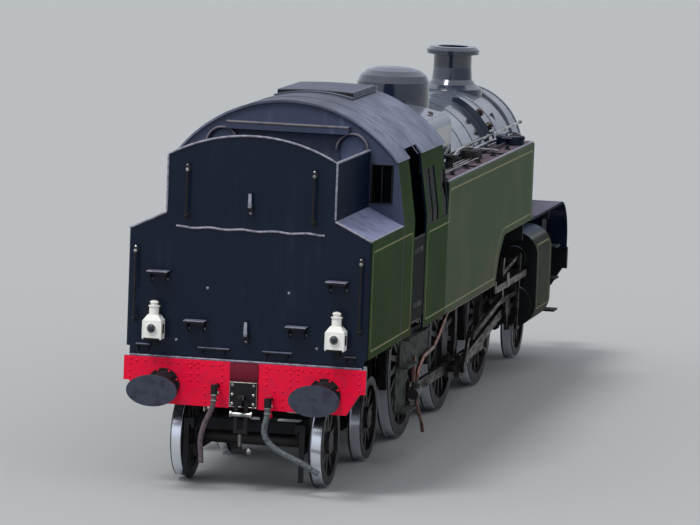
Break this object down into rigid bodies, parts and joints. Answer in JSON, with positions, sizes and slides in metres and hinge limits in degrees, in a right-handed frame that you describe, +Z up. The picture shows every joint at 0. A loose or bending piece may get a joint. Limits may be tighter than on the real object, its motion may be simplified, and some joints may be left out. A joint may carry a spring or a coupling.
{
  "type": "steam locomotive",
  "caption": "Full-size side-tank steam locomotive with coal bunker, enclosed cab, outside cylinders, coupled wheels, leading truck and trailing bogie.",
  "frame": {"origin": "mid-length and centreline, on the floor under the wheel flanges", "axes": "+X to the chimney end, +Y to the left, +Z up"},
  "size_m": [13.662, 2.62, 4.035],
  "materials": {
    "sheet_green": "gloss",
    "sheet_black": "gloss",
    "beam_red": "satin",
    "roof_grey": "matte",
    "frame_black": "satin",
    "wheel_steel": "satin",
    "bright_steel": "satin",
    "buffer_steel": "satin",
    "lamp_white": "gloss",
    "fittings_black": "satin",
    "step_grey": "matte",
    "floor_wood": "matte",
    "pipe_copper": "satin",
    "hose_rubber": "matte",
    "window_glass": "gloss"
  },
  "bodies": {
    "locomotive": {"ashpan": "frame_black", "boiler": "sheet_black", "boiler_valves": "sheet_black", "brake_gear": "frame_black", "buffer_beams": "beam_red", "buffer_heads": "buffer_steel", "buffer_housings": "frame_black", "bunker": "sheet_black", "bunker_steps": "fittings_black", "cab_back_plate": "sheet_black", "cab_floor": "floor_wood", "cab_front_plate": "sheet_black", "cab_glass": "window_glass", "cab_roof": "roof_grey", "cab_sides": "sheet_green", "cab_steps": "step_grey", "chimney": "sheet_black", "cylinders": "frame_black", "dome": "sheet_black", "drawgear": "buffer_steel", "firebox": "sheet_black", "frame_stretchers": "frame_black", "front_brake_hose": "hose_rubber", "front_heating_hose": "hose_rubber", "front_steps": "step_grey", "headlamps": "lamp_white", "hose_stands": "fittings_black", "injectors": "pipe_copper", "main_frames": "frame_black", "rear_brake_hose": "hose_rubber", "rear_heating_hose": "hose_rubber", "running_plate": "sheet_black", "side_tanks": "sheet_green", "slide_bars": "bright_steel", "smokebox": "sheet_black", "valve_gear_left": "bright_steel", "valve_gear_right": "bright_steel"},
    "leading_wheels": {"leading_wheelset": "wheel_steel"},
    "driving_wheels": {"driving_wheelset": "wheel_steel"},
    "trailing_wheels": {"trailing_wheelset": "wheel_steel"},
    "left_coupling_rod": {"coupling_rod_left": "bright_steel"},
    "right_coupling_rod": {"coupling_rod_right": "bright_steel"},
    "left_crosshead": {"crosshead_left": "bright_steel"},
    "right_crosshead": {"crosshead_right": "bright_steel"},
    "left_con_rod": {"con_rod_left": "bright_steel"},
    "right_con_rod": {"con_rod_right": "bright_steel"},
    "pony": {"pony_truck": "frame_black"},
    "pony_wheels": {"pony_wheelset": "wheel_steel"},
    "bogie": {"bogie_frame": "frame_black"},
    "bogie_front_wheels": {"bogie_front_wheelset": "wheel_steel"},
    "bogie_rear_wheels": {"bogie_rear_wheelset": "wheel_steel"},
    "front_door": {"smokebox_door": "sheet_black"},
    "left_door": {"cab_door_left": "sheet_green"},
    "right_door": {"cab_door_right": "sheet_green"},
    "left_lid": {"tank_lid_left": "sheet_black"},
    "right_lid": {"tank_lid_right": "sheet_black"}
  },
  "joints": [
    {"name": "driving_spin", "type": "hinge", "parent": "locomotive", "child": "driving_wheels", "pos_m": [0.484, 0, 0.892], "axis": [0, 1, 0], "continuous": true},
    {"name": "leading_spin", "type": "hinge", "parent": "locomotive", "child": "leading_wheels", "pos_m": [2.821, 0, 0.892], "axis": [0, 1, 0], "continuous": true},
    {"name": "trailing_spin", "type": "hinge", "parent": "locomotive", "child": "trailing_wheels", "pos_m": [-1.853, 0, 0.892], "axis": [0, 1, 0], "continuous": true},
    {"name": "left_rod_turn", "type": "hinge", "parent": "driving_wheels", "child": "left_coupling_rod", "pos_m": [0.8396, 0.885, 0.892], "axis": [0, 1, 0], "continuous": true},
    {"name": "right_rod_turn", "type": "hinge", "parent": "driving_wheels", "child": "right_coupling_rod", "pos_m": [0.484, -0.885, 0.5364], "axis": [0, 1, 0], "continuous": true},
    {"name": "pony_swing", "type": "hinge", "parent": "locomotive", "child": "pony", "pos_m": [3.664, 0, 0.628], "axis": [0, 0, 1], "range_deg": [-3, 3]},
    {"name": "pony_spin", "type": "hinge", "parent": "pony", "child": "pony_wheels", "pos_m": [5.564, 0, 0.485], "axis": [0, 1, 0], "continuous": true},
    {"name": "bogie_swing", "type": "hinge", "parent": "locomotive", "child": "bogie", "pos_m": [-4.6725, 0, 0.728], "axis": [0, 0, 1], "range_deg": [-4, 4]},
    {"name": "bogie_front_spin", "type": "hinge", "parent": "bogie", "child": "bogie_front_wheels", "pos_m": [-3.682, 0, 0.485], "axis": [0, 1, 0], "continuous": true},
    {"name": "bogie_rear_spin", "type": "hinge", "parent": "bogie", "child": "bogie_rear_wheels", "pos_m": [-5.663, 0, 0.485], "axis": [0, 1, 0], "continuous": true},
    {"name": "left_crosshead_slide", "type": "slide", "parent": "locomotive", "child": "left_crosshead", "axis": [1, 0, 0], "range_m": [-0.7112, 0]},
    {"name": "left_con_rod_swing", "type": "hinge", "parent": "left_crosshead", "child": "left_con_rod", "pos_m": [3.6006, 1.02, 0.892], "axis": [0, -1, 0], "range_deg": [-7.4, 7.4]},
    {"name": "right_crosshead_slide", "type": "slide", "parent": "locomotive", "child": "right_crosshead", "axis": [1, 0, 0], "range_m": [-0.3326, 0.3786]},
    {"name": "right_con_rod_swing", "type": "hinge", "parent": "right_crosshead", "child": "right_con_rod", "pos_m": [3.222, -1.02, 0.892], "axis": [0, -1, 0], "range_deg": [-14.8, 0]},
    {"name": "front_door_hinge", "type": "hinge", "parent": "locomotive", "child": "front_door", "pos_m": [5.541, 0.735, 2.698], "axis": [0, 0, 1], "range_deg": [0, 110]},
    {"name": "left_door_hinge", "type": "hinge", "parent": "locomotive", "child": "left_door", "pos_m": [-3.948, 1.2925, 2.028], "axis": [0, 0, -1], "range_deg": [0, 90]},
    {"name": "right_door_hinge", "type": "hinge", "parent": "locomotive", "child": "right_door", "pos_m": [-3.948, -1.2925, 2.028], "axis": [0, 0, 1], "range_deg": [0, 90]},
    {"name": "left_lid_hinge", "type": "hinge", "parent": "locomotive", "child": "left_lid", "pos_m": [2.69, 1.1, 3.064], "axis": [0, -1, 0], "range_deg": [0, 110]},
    {"name": "right_lid_hinge", "type": "hinge", "parent": "locomotive", "child": "right_lid", "pos_m": [2.69, -1.1, 3.064], "axis": [0, -1, 0], "range_deg": [0, 110]}
  ],
  "couplings": [
    {"joint": "leading_spin", "follows": "driving_spin", "ratio": 1},
    {"joint": "trailing_spin", "follows": "driving_spin", "ratio": 1},
    {"joint": "left_rod_turn", "follows": "driving_spin", "ratio": -1},
    {"joint": "right_rod_turn", "follows": "driving_spin", "ratio": -1}
  ]
}
